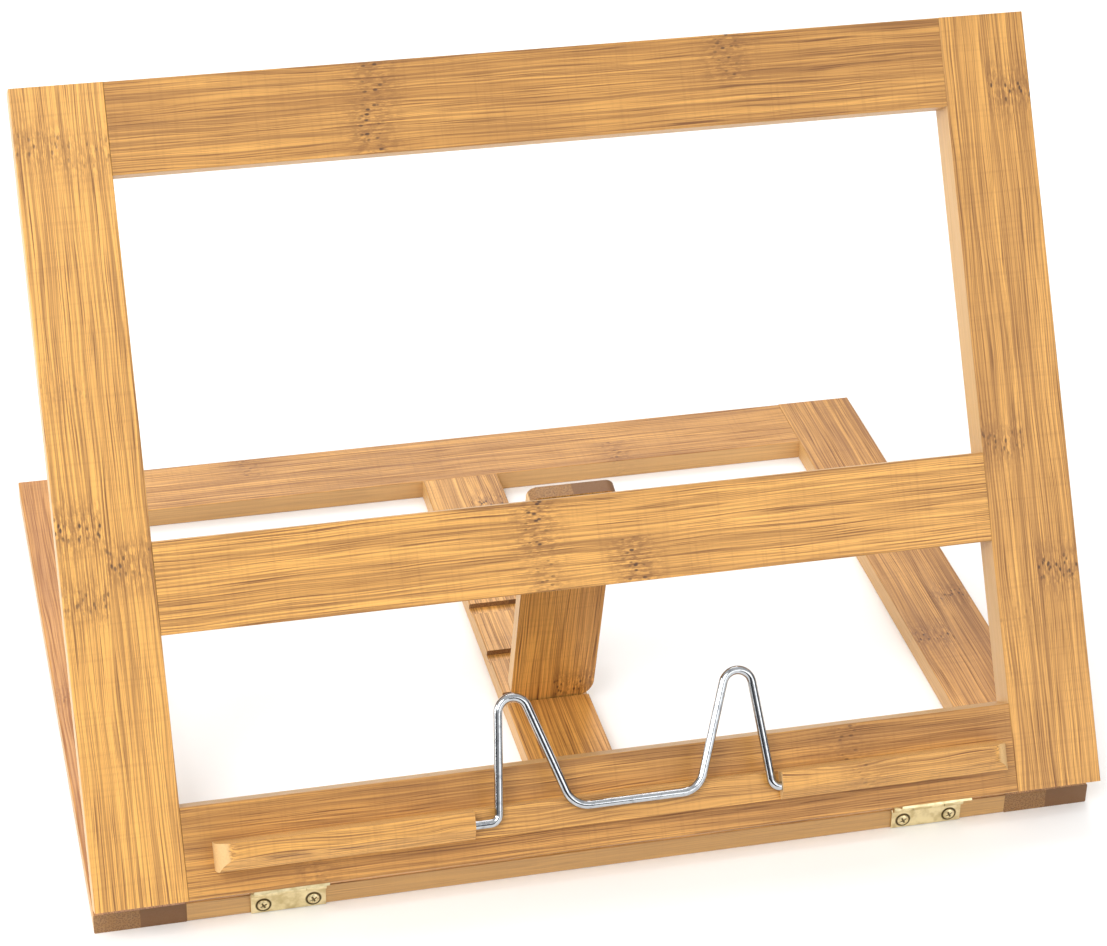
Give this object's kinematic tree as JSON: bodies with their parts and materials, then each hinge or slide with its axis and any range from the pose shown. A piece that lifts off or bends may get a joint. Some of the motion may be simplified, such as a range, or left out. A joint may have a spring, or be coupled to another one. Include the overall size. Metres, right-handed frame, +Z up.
{
  "type": "photo album stand",
  "caption": "Folding wooden album stand: a flat base frame, a hinged tilted front frame with a ledge and page wire, and a prop slat that stands in a groove.",
  "frame": {"origin": "middle of the base's underside, on the underside of the centre bar", "axes": "+X to the right along the width and the hinge pins, +Y from the hinged front edge to the back, +Z up"},
  "size_m": [0.34, 0.279, 0.2379],
  "materials": {
    "bamboo_frame": "satin lacquer",
    "bamboo_base": "satin lacquer",
    "bamboo_ledge": "satin lacquer",
    "bamboo_prop": "satin lacquer",
    "dowel_wood": "plain",
    "hinge_brass": "polished",
    "wire_chrome": "bright"
  },
  "bodies": {
    "base_frame": {"base_left_bar": "bamboo_base", "base_right_bar": "bamboo_base", "base_front_rail": "bamboo_base", "base_rear_rail": "bamboo_base", "notched_centre_bar": "bamboo_base", "base_dowels": "dowel_wood", "left_hinge_base_leaf": "hinge_brass", "right_hinge_base_leaf": "hinge_brass", "base_hinge_screws": "hinge_brass", "left_hinge_pin": "hinge_brass", "right_hinge_pin": "hinge_brass"},
    "front_frame": {"left_stile": "bamboo_frame", "right_stile": "bamboo_frame", "top_rail": "bamboo_frame", "middle_rail": "bamboo_frame", "bottom_rail": "bamboo_frame", "frame_dowels": "dowel_wood", "book_ledge": "bamboo_ledge", "left_hinge_frame_leaf": "hinge_brass", "right_hinge_frame_leaf": "hinge_brass", "frame_hinge_screws": "hinge_brass", "prop_hinge_rail_leaf": "hinge_brass", "prop_hinge_rail_screws": "hinge_brass", "prop_hinge_pin": "hinge_brass"},
    "prop": {"prop_slat": "bamboo_prop", "prop_hinge_prop_leaf": "hinge_brass", "prop_hinge_prop_screws": "hinge_brass"},
    "wire": {"page_wire": "wire_chrome"}
  },
  "joints": [
    {"name": "frame_tilt", "type": "hinge", "parent": "base_frame", "child": "front_frame", "pos_m": [0, -0.1344, 0.009], "axis": [1, 0, 0], "range_deg": [0, 32.2]},
    {"name": "prop_swing", "type": "hinge", "parent": "front_frame", "child": "prop", "pos_m": [0, -0.07057, 0.10483], "axis": [1, 0, 0], "range_deg": [0, 50]},
    {"name": "wire_swing", "type": "hinge", "parent": "front_frame", "child": "wire", "pos_m": [0.0065, -0.14349, 0.03257], "axis": [1, 0, 0], "range_deg": [-10, 100]}
  ]
}
